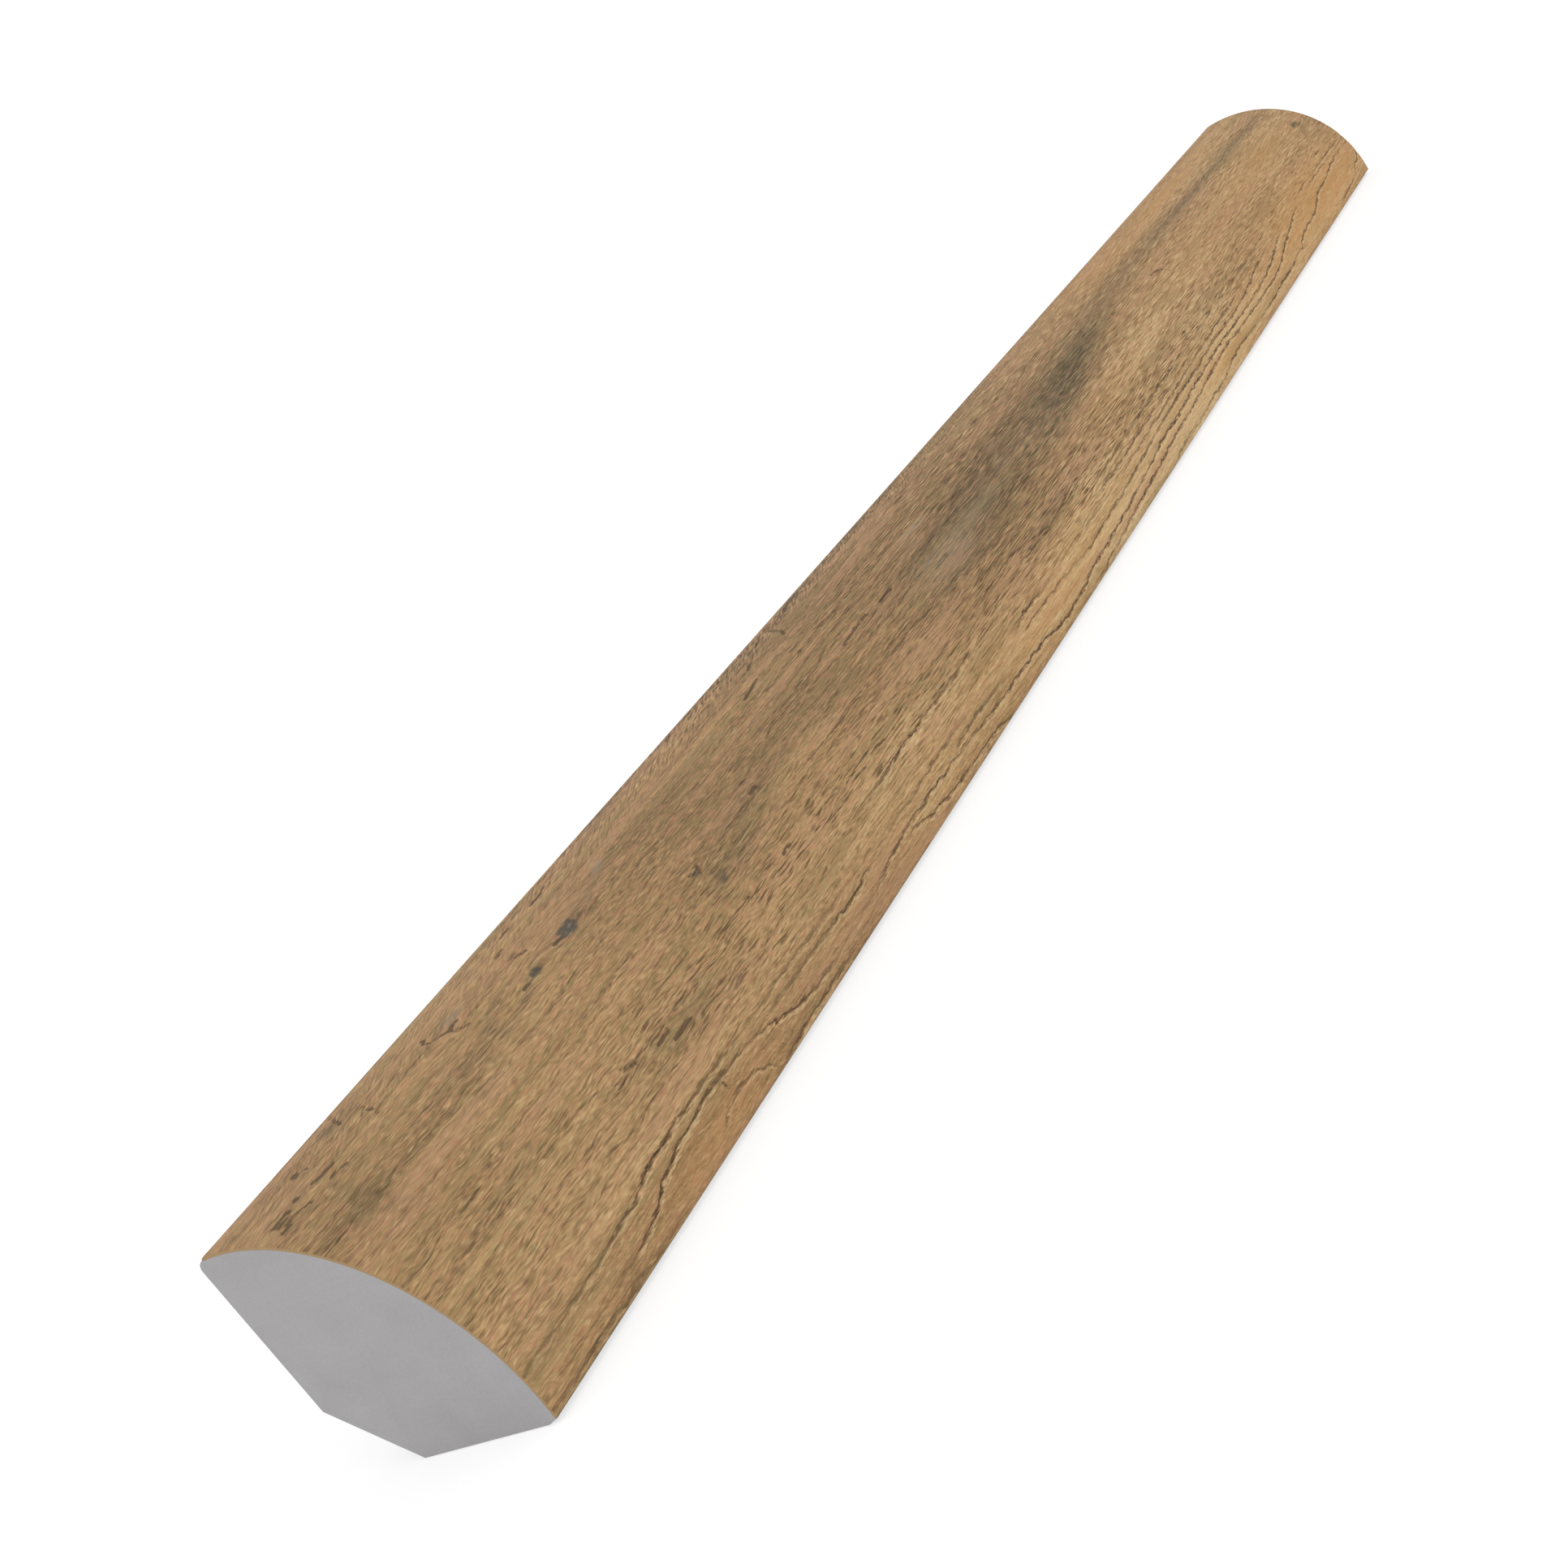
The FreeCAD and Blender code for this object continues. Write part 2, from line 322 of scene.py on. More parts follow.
# Growth lines of the toe side, drawn as listed points: millimetres along, millimetres round and strength
growth_lines = [
    [(60, 22.5, 0), (66, 22.5, 0.5), (72, 22.35, 1), (80, 22.4, 0.8), (90, 22.4, 0.5), (96, 22.4, 0),
     (130, 22.7, 0), (133, 22.7, 0.6), (145, 22.4, 0.4), (163, 22.2, 0.8), (166, 22.3, 0.2),
     (181, 22.2, 0.5), (186, 22.0, 0)],
    [(128, 23.7, 0), (132, 23.7, 0.8), (140, 23.7, 0.8), (145, 23.5, 0.9), (152, 23.4, 0.6),
     (164, 23.4, 0.3), (176, 23.0, 0), (198, 22.0, 0.4), (203, 22.0, 0.6), (215, 21.7, 0.5),
     (218, 21.8, 0), (248, 21.3, 0), (250, 21.2, 0.9), (252, 21.15, 0.8), (254, 21.2, 0)],
    [(98, 24.8, 0), (100, 24.75, 0.5), (102, 24.4, 0.9), (105, 24.5, 1), (107, 24.65, 0.4),
     (114, 24.5, 0.2), (124, 24.6, 0.5), (134, 24.7, 0.1), (141, 24.45, 0.6), (150, 24.3, 0.6),
     (160, 24.05, 0.8), (169, 23.8, 0.5), (182, 23.6, 0.9), (189, 23.65, 0.9), (192, 23.6, 0)],
    [(0, 25.9, 0.3), (8, 25.9, 0.6), (16, 25.5, 0.8), (18, 25.1, 1), (20, 24.85, 1), (24, 24.7, 0.9),
     (29, 24.7, 0.6), (36, 25.0, 0.2), (41, 24.9, 0.5), (51, 25.2, 0.4), (57, 25.3, 0), (65, 25.5, 0.4),
     (70, 25.55, 0.5), (74, 25.4, 0.7), (80, 25.4, 0.5), (84, 25.4, 0)],
    [(37, 25.7, 0), (41, 25.9, 0.5), (48, 26.0, 0.6), (52, 26.2, 0.9), (55, 26.2, 0.9), (57, 25.95, 0.8),
     (60, 25.9, 0), (76, 26.6, 0), (80, 26.4, 0.7), (84, 26.2, 0.8), (90, 26.4, 0.5), (93, 26.4, 0),
     (100, 25.5, 0), (101, 25.5, 0.9), (104, 25.5, 0.8), (112, 25.7, 0.5), (119, 26.2, 0.3),
     (121, 26.3, 0.9), (125, 26.05, 0.8), (133, 25.9, 0.7), (143, 25.45, 0.9), (150, 25.1, 0.6),
     (158, 24.85, 0.9), (171, 24.7, 0.8), (176, 24.5, 0.8), (189, 24.65, 0.8), (195, 24.4, 0.9),
     (198, 24.1, 0.8), (204, 23.5, 0.9), (207, 23.5, 0.5), (210, 23.3, 0), (233, 22.5, 0),
     (235, 22.45, 0.9), (238, 22.2, 0.6), (240, 22.3, 0.1), (253, 22.4, 0.9), (264, 22.5, 0.5)],
    [(11, 28.1, 0), (14, 27.7, 0.8), (17, 27.2, 1), (19, 26.4, 1), (22, 25.85, 1), (27, 25.4, 0.9),
     (32, 25.6, 0.6), (35, 26.0, 0.5), (38, 26.7, 1), (41, 27.5, 1), (44, 27.9, 0.8), (49, 27.9, 0.3),
     (57, 27.6, 0.3), (61, 27.0, 1), (66, 26.7, 0.7), (73, 26.75, 1), (80, 27.0, 0.6), (87, 27.35, 0.9),
     (98, 27.6, 1), (103, 27.8, 1), (105, 28.25, 1), (109, 28.4, 1), (114, 28.25, 1), (117, 27.85, 1),
     (124, 27.65, 0.9), (132, 27.35, 1), (139, 26.95, 0.6), (143, 26.7, 0.9), (150, 26.2, 1),
     (157, 26.15, 1), (162, 25.85, 0.9), (172, 25.55, 1), (180, 25.4, 1), (188, 25.6, 1), (196, 25.6, 0.6),
     (204, 25.35, 0.9), (208, 24.95, 1), (212, 24.4, 1), (216, 23.75, 0.7), (219, 23.5, 0), (237, 23.0, 0),
     (240, 22.95, 0.6), (248, 22.9, 0.5), (254, 22.9, 0.2), (264, 22.9, 0.5)],
    [(0, 28.85, 0.4), (9, 28.9, 0.4), (21, 29.2, 0.2), (35, 29.3, 0.3), (38, 29.1, 0.9), (40, 28.9, 0.9),
     (47, 28.85, 0.7), (51, 28.8, 0), (63, 27.1, 0), (66, 27.3, 0.6), (69, 27.85, 0.9), (73, 28.35, 1),
     (79, 28.6, 0.8), (86, 28.75, 1), (88, 29.1, 0.6), (91, 29.3, 0), (117, 29.3, 0), (121, 29.0, 0.7),
     (123, 28.75, 0.8), (127, 28.6, 0.6), (132, 28.35, 0.8), (138, 28.0, 1), (145, 27.7, 1),
     (152, 27.25, 0.9), (164, 26.95, 0.8), (170, 26.6, 0.9), (181, 26.2, 0.9), (185, 26.45, 0.8),
     (195, 26.55, 0.8), (204, 26.55, 0.9), (210, 26.25, 0.9), (214, 25.5, 1), (217, 25.0, 1),
     (222, 24.3, 0.9), (226, 23.65, 0.8), (229, 23.45, 0.3), (232, 23.3, 0)],
    [(26.5, 28.2, 0), (27.5, 27.6, 0.6), (29, 27.3, 0.5), (31, 27.2, 0.7), (33, 27.6, 0.6),
     (34.4, 28.3, 0.7), (35, 28.9, 0), (148, 29.3, 0), (152, 28.9, 0.8), (156, 28.7, 0.5),
     (161, 28.9, 0.6), (168, 28.6, 0.8), (174, 28.55, 0.6), (178, 28.0, 0.9), (182, 27.75, 0.8),
     (187, 27.9, 0.8), (194, 28.05, 0.2), (202, 28.1, 1), (205, 27.9, 1), (214, 27.8, 0.9),
     (216, 27.5, 0.3), (221, 27.35, 0.8), (222, 26.8, 0.9), (226, 26.3, 0.9), (233, 26.1, 0.8),
     (236, 25.5, 1), (239, 24.8, 1), (241, 24.6, 1), (246, 24.5, 0.8), (250, 24.0, 0.9),
     (255, 23.7, 0.8), (257, 23.7, 0.3), (264, 23.7, 0.6)],
    [(245, 28.7, 0), (248, 28.55, 0.9), (252, 28.4, 0.8), (257.5, 28.1, 0.5), (258.5, 27.4, 0.8),
     (260, 26.9, 1), (262, 26.85, 1), (264, 26.1, 0.9)],
]

# Each line wavers 0.1 mm about its course every 2.2 mm, in its own way
line_half_width = 0.2
line_drift = 0.1
line_step = 2.2
line_spacing = 10

pressed = numpy.zeros(len(corners))
stations = numpy.linspace(0, length / MM, 1 + face_side["columns"] * face_side["repeats"])
for number, points in enumerate(growth_lines):
    places, levels, strengths = numpy.array(points).T
    waver = [noise.fractal((at / line_step, line_spacing * number, 0), 0.6, 2, 3) for at in stations]
    course = numpy.interp(along, places, levels) + line_drift * numpy.interp(along, stations, waver)
    line_gap = around - course
    line_strength = numpy.interp(along, places, strengths, left=0, right=0)
    write_field(f"growth_line_{number}", line_gap, line_strength)
    pressed = numpy.maximum(pressed, line_strength * numpy.exp(-(line_gap / line_half_width) ** 2))

# Broad light and shade of the print
tone = blots(
    (225, 5, 60, 5, 0, 0.13), (215, 16.5, 60, 5, 0, 0.2), (170, 27.5, 75, 3.5, 0, 0.25),
    (250, 24, 45, 5, 0, 0.16), (168, 18, 18, 2.5, 0, 0.13), (140, 27, 55, 2.6, 0, 0.26),
    (225, 26.5, 40, 3, 0, 0.1), (100, 3.5, 45, 5, 0, -0.14), (125, 10.5, 45, 5, 0, -0.2),
    (102, 17.5, 22, 3, 0, -0.2), (50, 11, 18, 5, 0, -0.1), (105, 8, 45, 8, 0, -0.06),
    (110, 24, 150, 1.5, 0, 0.13), (245, 28, 28, 2, 0, 0.2), (174, 16.5, 14, 2, 0, 0.08),
    (180, 22, 14, 1.5, 0, 0.1), (245, 6, 26, 1.4, 0, 0.08), (108, 1.2, 46, 2, 0, -0.15),
    (4, 10.5, 9, 3.5, 0, -0.1), (66, 10, 20, 3.2, 0, -0.1), (122, 16.8, 13, 2, 0, -0.16),
    (156, 27.6, 46, 2.0, 0, 0.25), (114, 25.6, 9, 1.2, 0, 0.18), (48, 27.5, 3, 0.25, 0, 0.35),
    (52.5, 27.9, 2, 0.2, 0.1, 0.3), (56, 28.2, 10, 1.2, 0, -0.18), (14, 24.5, 9, 2.5, 0, 0.08),
    (3, 21.5, 6, 1.5, 0, 0.09), (80, 17.2, 8, 1.2, 0, -0.1), (147, 28.4, 10, 1.2, 0, 0.3),
    (228, 19.2, 7, 0.9, 0, -0.08), (16, 7.5, 8, 1.4, 0, 0.07), (165, 27, 45, 2.4, 0, 0.18),
    (150, 28.2, 26, 1.8, 0, 0.25), (146, 27.2, 20, 2.6, 0, 0.3), (186, 27.5, 14, 2.2, 0, 0.2),
    (184, 22.5, 8, 2.2, 0, 0.12), (112, 25.4, 7, 1.0, 0, 0.12), (240, 28.2, 24, 1.2, 0, 0.12),
    (158, 18, 16, 2, 0, 0.08), (182, 22, 8, 1.6, 0, 0.1), (242, 14.5, 14, 2.2, 0, 0.13),
    (152, 18.5, 16, 2, 0, 0.06), (110, 0.8, 80, 1.4, 0, -0.1), (190, 0.8, 60, 1.4, 0, -0.08),
    (98, 15.3, 14, 1.2, 0, 0.07), (170, 15.4, 8, 1.2, 0, 0.1), (14, 6.2, 8, 2, 0, 0.08),
    (2, 8, 5, 1.4, 0, 0.07), (62, 1.4, 8, 1.2, 0, -0.08), (236, 2, 14, 1.6, 0, -0.06),
    (62, 10, 26, 4, 0, 0.06), (235, 28, 26, 1.6, 0, 0.09), (144, 1.5, 20, 1.6, 0, -0.09),
    (130, 24, 60, 3, 0, 0.05), (150, 28.4, 26, 1.2, 0, 0.1), (186, 24.5, 10, 3, 0, 0.08),
    (172, 17.5, 9, 1.2, 0, 0.1), (182, 4, 12, 4, 0, -0.06), (220, 2.5, 36, 2, 0, -0.06),
    (54, 9, 9, 1.6, 0, -0.08), (218, 19, 10, 1, 0, -0.08), (20, 21, 60, 2.4, 0, 0.06),
    (36, 19, 14, 1.2, 0, 0.06), (2, 11.5, 8, 2, 0, -0.06), (134, 23, 10, 2, 0, 0.1),
    (74, 22.5, 16, 3.4, 0, 0.14), (216, 19.8, 14, 1, 0, -0.16), (8, 15, 11, 1.5, 0, -0.09),
    (252, 12.5, 14, 2, 0, 0.08), (234, 1.5, 14, 1.2, 0, -0.09), (50, 7.6, 8, 1.2, 0, -0.08),
    (130, 7.5, 20, 2, 0, -0.06), (25, 1.5, 9, 1.5, 0, 0.09),
)

# Where the fibres run on a slant by the nose and cross at the toe, and where rows of pores show
toe_side = 24.5
slanted = blots(
    (12, 3.0, 20, 3.6, 0, 1.0), (50, 2.5, 28, 3.2, 0, 0.95), (95, 1.0, 40, 2.6, 0, 0.8),
    (190, 1.5, 80, 3.8, 0, 0.2),
)
steep = blots((8, 1.2, 10, 2.6, 0, 0.5), (24, 0.6, 8, 1.6, 0, 0.2))
hatched = numpy.clip((around - toe_side) / 2, 0, 0.3)
pored = blots((52, 20, 42, 3.4, 0, 0.65), (140, 21.5, 60, 2.4, 0, 0.9), (225, 21, 35, 2.2, 0, 0.5))

# Past the first 30 mm the fibres get longer and stand out more, the most on the 12 mm by the nose
near_stretch = 30
nose_side = 12
past_near = along - near_stretch
drawn_out = numpy.clip(past_near / 110, 0, 0.88) * numpy.clip(0.4 + around / nose_side, 0, 1)
far = numpy.clip(past_near / 100, 0, 1)
lively = 0.63 + 0.006 * around + far * (0.33 + 1.5 * numpy.clip(1 - around / nose_side, 0, 1))
write_field("drawing", tone, lively, drawn_out)
write_field("slopes", numpy.clip(slanted, 0, 1), numpy.clip(steep, 0, 1), hatched)

# Bluish-grey stains, pale patches and warm patches
stains = blots(
    (132, 13.0, 30, 3.4, -0.03, 0.5), (145, 13.4, 13, 2.6, -0.03, 0.22), (113, 16.6, 16, 2.2, 0, 0.22),
    (165, 10.8, 22, 2.2, -0.1, 0.42), (104, 12.9, 13, 1.0, 0, 0.3), (188, 9.0, 13, 1.5, -0.03, 0.4),
    (212, 9.4, 22, 1.2, 0, 0.36), (248, 9.8, 22, 0.6, 0, 0.4), (4, 6.2, 5, 1.3, 0, 0.3),
    (5.6, 11, 1.4, 2.2, 0, 0.35), (16, 12, 6, 0.9, 0.05, 0.28), (49, 16.6, 6, 1.1, -0.03, 0.6),
    (57, 14.8, 9, 1.3, -0.02, 0.45), (23.3, 10.0, 0.5, 1.0, 0, 0.6), (76, 15.0, 6, 1.0, 0, 0.35),
    (31, 21.0, 7, 1.2, 0.05, 0.4), (3, 10.5, 3.5, 1.6, 0, 0.25), (18, 9.8, 4, 0.9, 0.05, 0.22),
    (41, 8.0, 4, 0.4, -0.16, 0.6), (27, 10.2, 2.6, 0.4, -0.2, 0.6), (66, 11.4, 10, 1.6, 0, 0.2),
    (118, 11.6, 22, 1.5, 0, 0.28), (160, 9.8, 13, 1.5, -0.05, 0.25), (136, 15.6, 9, 1.3, 0, 0.3),
    (220, 9.6, 34, 0.9, 0, 0.2), (36, 9.0, 4, 1.6, 0, 0.3), (147, 14, 8, 1.4, 0, 0.3),
    (158, 12.2, 9, 1.6, -0.1, 0.2), (62, 10, 26, 4, 0, 0.12), (96, 12, 12, 5, 0, 0.08),
    (258.3, 15.8, 1.4, 0.7, 0.1, 1.6), (20, 10.3, 5, 0.9, 0.12, 0.25),
    (24.5, 8.8, 3.5, 0.5, -0.25, 0.45), (232, 9.4, 26, 0.7, 0, 0.35), (205, 9.2, 14, 1.0, 0, 0.3),
    (70, 13.5, 9, 0.8, 0, 0.25), (202, 22.6, 5, 0.6, 0, 0.6), (120, 20.8, 7, 0.9, 0, 0.5),
    (104, 24.4, 3, 0.3, 0, 0.6), (54, 1.6, 5, 0.7, -0.2, 0.5), (82, 2.6, 6, 0.9, -0.1, 0.4),
    (95, 1.2, 4, 0.7, -0.15, 0.6), (234, 25.5, 5, 0.5, -0.1, 0.4), (12.5, 2.6, 1.5, 1.2, 0, 0.4),
)
pale_patches = blots(
    (104, 15.2, 8, 1.9, 0, 0.2), (102, 13.85, 2, 0.2, 0, 0.3), (114, 14.2, 10, 1.0, 0, 0.15),
    (44.5, 6.9, 1.2, 0.3, -0.3, 0.5), (108, 9.7, 2.5, 0.3, 0, 0.6), (24.5, 5.2, 1.5, 0.5, 0, 0.4),
)
warm_patches = blots(
    (26, 27.8, 9, 1.6, 0, 0.3), (244, 26.8, 34, 3.2, 0, 0.65), (222, 5.0, 16, 1.0, 0, 0.35),
    (112, 26.6, 14, 1.4, 0, 0.25), (180, 27.3, 12, 1.2, 0, 0.35), (220, 4, 60, 6, 0, 0.34),
    (240, 22.5, 34, 2.8, 0, 0.55), (160, 26, 70, 3, 0, 0.4), (215, 16, 45, 4, 0, 0.28),
    (256.3, 15.5, 2.2, 0.8, 0, 0.2), (190, 4, 14, 6, 0, 0.15), (242, 14.5, 14, 2.4, 0, 0.3),
    (152, 18.5, 16, 2, 0, 0.15),
)
write_field("shading", stains, pale_patches, warm_patches)

# Knots, most of them small
knots = blots(
    (36.1, 8.9, 1.55, 0.82, -0.1, 1.05), (30.5, 9.3, 1.0, 0.6, -0.1, 1.0),
    (91.5, 27.6, 1.0, 0.2, 0, 0.8), (106.7, 9.0, 0.4, 0.2, 0, 0.8), (45.9, 15.0, 0.9, 0.4, 0, 0.6),
    (24.0, 5.95, 0.5, 0.28, 0, 0.7), (95.6, 1.3, 1.4, 0.45, -0.2, 0.8), (190.3, 7.9, 1.0, 0.3, 0, 0.6),
    (163, 22.2, 0.6, 0.18, 0, 0.8), (112.4, 21.3, 1.0, 0.25, 0.2, 0.7), (46.6, 17.0, 0.9, 0.5, 0, 0.7),
    (258.0, 15.8, 1.5, 0.36, 0, 0.95),
)

# Cracks, drawn as short broken lines in millimetres along and round. Each fades out over 0.8 mm
crack_lines = [
    [(1.5, 5.85), (2.7, 5.65), (3.7, 5.8)], [(2.1, 6.5), (3.4, 6.55), (4.6, 6.95)],
    [(1.6, 6.2), (2.6, 6.05), (3.2, 6.1)], [(1.2, 6.85), (2.3, 7.0)], [(4.4, 5.5), (5.0, 5.4)],
    [(6.0, 5.7), (7.1, 5.9), (8.5, 5.95)], [(6.8, 6.9), (7.5, 6.8), (8.25, 7.1)],
    [(7.0, 3.5), (7.4, 3.0), (7.9, 3.9)], [(12.8, 3.2), (13.4, 2.0), (14.0, 1.0)],
    [(14.4, 4.2), (14.0, 5.2), (13.7, 6.1)],
    [(22.0, 4.3), (21.4, 4.9), (21.8, 5.5), (22.5, 5.8), (22.9, 6.2), (23.5, 5.95), (24.3, 6.0)],
    [(22.9, 6.2), (23.0, 6.9), (23.8, 7.4)],
    [(28.2, 9.6), (29.4, 9.4)], [(33.8, 8.95), (35.0, 8.9)],
    [(31.9, 6.2), (32.4, 6.6), (33.0, 6.9)], [(32.3, 4.5), (33.5, 4.2)], [(35.4, 2.8), (37.0, 2.5)],
    [(40.0, 2.9), (41.5, 2.9), (43.0, 2.3)],
    [(45.4, 14.6), (46.2, 15.1), (46.8, 14.5)], [(45.9, 19.3), (46.4, 19.6)],
    [(52.6, 19.7), (53.3, 19.45), (54.0, 19.6)], [(57.6, 14.3), (59.0, 14.25)],
    [(66.8, 1.4), (68.2, 0.9)], [(72.0, 7.3), (76.0, 6.6)], [(77.3, 1.6), (78.2, 1.2)],
    [(78.3, 4.6), (80.0, 4.0)], [(85.3, 5.2), (86.2, 4.5), (86.9, 3.3), (87.4, 2.2)],
    [(83.8, 2.6), (85.2, 2.2)], [(83.0, 12.25), (86.0, 12.1), (89.5, 12.0)], [(92.0, 12.3), (95.0, 12.35)],
    [(91.6, 2.1), (93.2, 1.4), (94.5, 1.0)], [(24.2, 19.5), (25.6, 20.0)], [(29.5, 21.3), (32.2, 21.3)],
    [(28.0, 20.6), (30.0, 20.5)], [(29.2, 25.7), (29.7, 26.6)],
    [(186.1, 12.9), (188.2, 13.2), (189.0, 13.8), (189.1, 14.7)],
]
crack_reach = 0.8
crack_gap = numpy.full(len(corners), crack_reach)
spots = numpy.stack([along, around], axis=1)
for points in map(numpy.array, crack_lines):
    for start, stop in zip(points, points[1:]):
        step = stop - start
        share = numpy.clip(((spots - start) @ step) / (step @ step), 0, 1)
        distance = numpy.linalg.norm(spots - start - share[:, None] * step, axis=1)
        crack_gap = numpy.minimum(crack_gap, distance)
cracks = 1 - crack_gap / crack_reach
write_field("faults", knots, cracks, pored)

# The grain parts to run round the knots: millimetres along and round, and reach both ways
parting = 0.75
flow = around.copy()
for at_along, at_around, reach_along, reach_around in (
    (36.2, 8.9, 5, 1.6), (30.5, 9.3, 3, 1.0), (3, 6.3, 5, 1.6), (258.3, 15.8, 5, 1.5), (23, 6, 4, 1.5),
):
    run = (along - at_along) / reach_along
    rise = (around - at_around) / reach_around
    flow -= parting * (around - at_around) * numpy.exp(-(run ** 2 + rise ** 2))
write_field("grain_place", along, flow)

# The press goes in 0.08 mm at the lines and cracks, and less at the knots
press_depth = 0.08 * MM
crack_rim = 0.55
crack_steepness = 3
knot_press = 0.7
least_press = 0.02
pressed = numpy.maximum(pressed, numpy.clip((cracks - crack_rim) * crack_steepness, 0, 1))
pressed = numpy.maximum(pressed, knot_press * numpy.clip(knots, 0, 1))
on_face = numpy.zeros(len(corners), numpy.float32)
film.data.attributes["on_face"].data.foreach_get("value", on_face)
pressed_grain = film.vertex_groups.new(name="pressed_grain")
for corner in numpy.flatnonzero((on_face == 1) & (pressed > least_press)):
    pressed_grain.add([int(corner)], float(pressed[corner]), "REPLACE")
press = film.modifiers.new("press", "DISPLACE")
press.vertex_group = pressed_grain.name
press.mid_level = 0
press.strength = -press_depth
bpy.ops.object.modifier_apply(modifier=press.name)
bpy.ops.object.shade_smooth_by_angle(angle=film_smooth_angle)

# The film laid flat on a square map: the face in two halves, with its rims and glue side in a strip above
corner_of = numpy.zeros(len(film.data.loops), numpy.int32)
film.data.loops.foreach_get("vertex_index", corner_of)
sides = numpy.zeros(len(film.data.polygons), numpy.int32)
film.data.polygons.foreach_get("loop_total", sides)
face_of = numpy.repeat(numpy.arange(len(sides)), sides)


def face_means(values):
    """The mean of a number over the corners of each face of the film."""
    return numpy.bincount(face_of, values[corner_of]) / sides


lengthwise = along / (length / MM)
crosswise = around / around.max()
face_along = face_means(lengthwise)
near_half = face_along < 0.5
far_half = face_along > 0.5
on_print = face_means(on_face) == 1
on_glue = face_means(on_face) == 0
at_ends = abs(face_along - 0.5) > 0.4999
on_rim = ~(on_print | on_glue)
at_nose = face_means(crosswise) < 0.5
map_places = numpy.zeros((len(corner_of), 2), numpy.float32)
# Faces, what runs across and up the map over them, and the left, right, bottom and top of their place
for faces, across, upward, left, right, bottom, top in (
    (on_print & near_half, 2 * lengthwise, crosswise, 0.005, 0.995, 0.005, 0.468),
    (on_print & far_half, 2 * lengthwise - 1, crosswise, 0.005, 0.995, 0.476, 0.939),
    (on_rim & ~at_ends & at_nose, lengthwise, on_face, 0.005, 0.995, 0.946, 0.954),
    (on_rim & ~at_ends & ~at_nose, lengthwise, on_face, 0.005, 0.995, 0.960, 0.968),
    (on_rim & at_ends & near_half, crosswise, on_face, 0.005, 0.325, 0.974, 0.995),
    (on_rim & at_ends & far_half, crosswise, on_face, 0.340, 0.660, 0.974, 0.995),
    (on_glue, lengthwise, crosswise, 0.675, 0.995, 0.974, 0.995),
):
    chosen = faces[face_of]
    map_places[chosen, 0] = left + (right - left) * across[corner_of[chosen]]
    map_places[chosen, 1] = bottom + (top - bottom) * upward[corner_of[chosen]]
bake_map = film.data.uv_layers.new(name="OFBake")
bake_map.data.foreach_set("uv", map_places.ravel())

# Printed oak on matt PVC foil: tan wood full of short dark and cream fibres, olive-brown stains, dark growth
# lines with a painted highlight on their toe side, and hardly any sheen. The pores are a little duller than
# the wood between them.
oak = bpy.data.materials.new("printed_oak_pvc_foil")
oak.use_nodes = True
nodes = oak.node_tree.nodes
shader = nodes["Principled BSDF"]
shader.inputs["IOR"].default_value = 1.5
shader.inputs["Specular IOR Level"].default_value = 0.15

fields = {}
for name in ("drawing", "slopes", "shading", "faults"):
    field = add(nodes, "ShaderNodeAttribute", attribute_name=name)
    fields[name] = add(nodes, "ShaderNodeSeparateXYZ", {"Vector": field.outputs["Vector"]}).outputs
grain = add(nodes, "ShaderNodeAttribute", attribute_name="grain_place").outputs["Vector"]

# The grain wanders up to 0.4 mm to each side over 28 mm, and the short fibres half of that over 4 mm
sideways = (0, 1, 0)
stray = add(nodes, "ShaderNodeMapRange", {"Value": fields["drawing"]["Z"], 2: 0.6, 3: 0.45, 4: 0.0})
for run, width, detail, swing in ((28, 5, 3.0, 0.8), (4, 1.0, 1.0, stray)):
    bends = add(
        nodes, "ShaderNodeMapping", {"Vector": grain, "Scale": (run, width, 1)}, vector_type="TEXTURE")
    wander = add(
        nodes, "ShaderNodeTexNoise",
        {"Vector": bends, "Scale": 1.0, "Detail": detail}, noise_dimensions="2D")
    wander = add(nodes, "ShaderNodeMath", {0: wander, 1: swing}, operation="MULTIPLY")
    grain = add(
        nodes, "ShaderNodeVectorMath", {0: wander, 1: sideways, 2: grain}, operation="MULTIPLY_ADD")

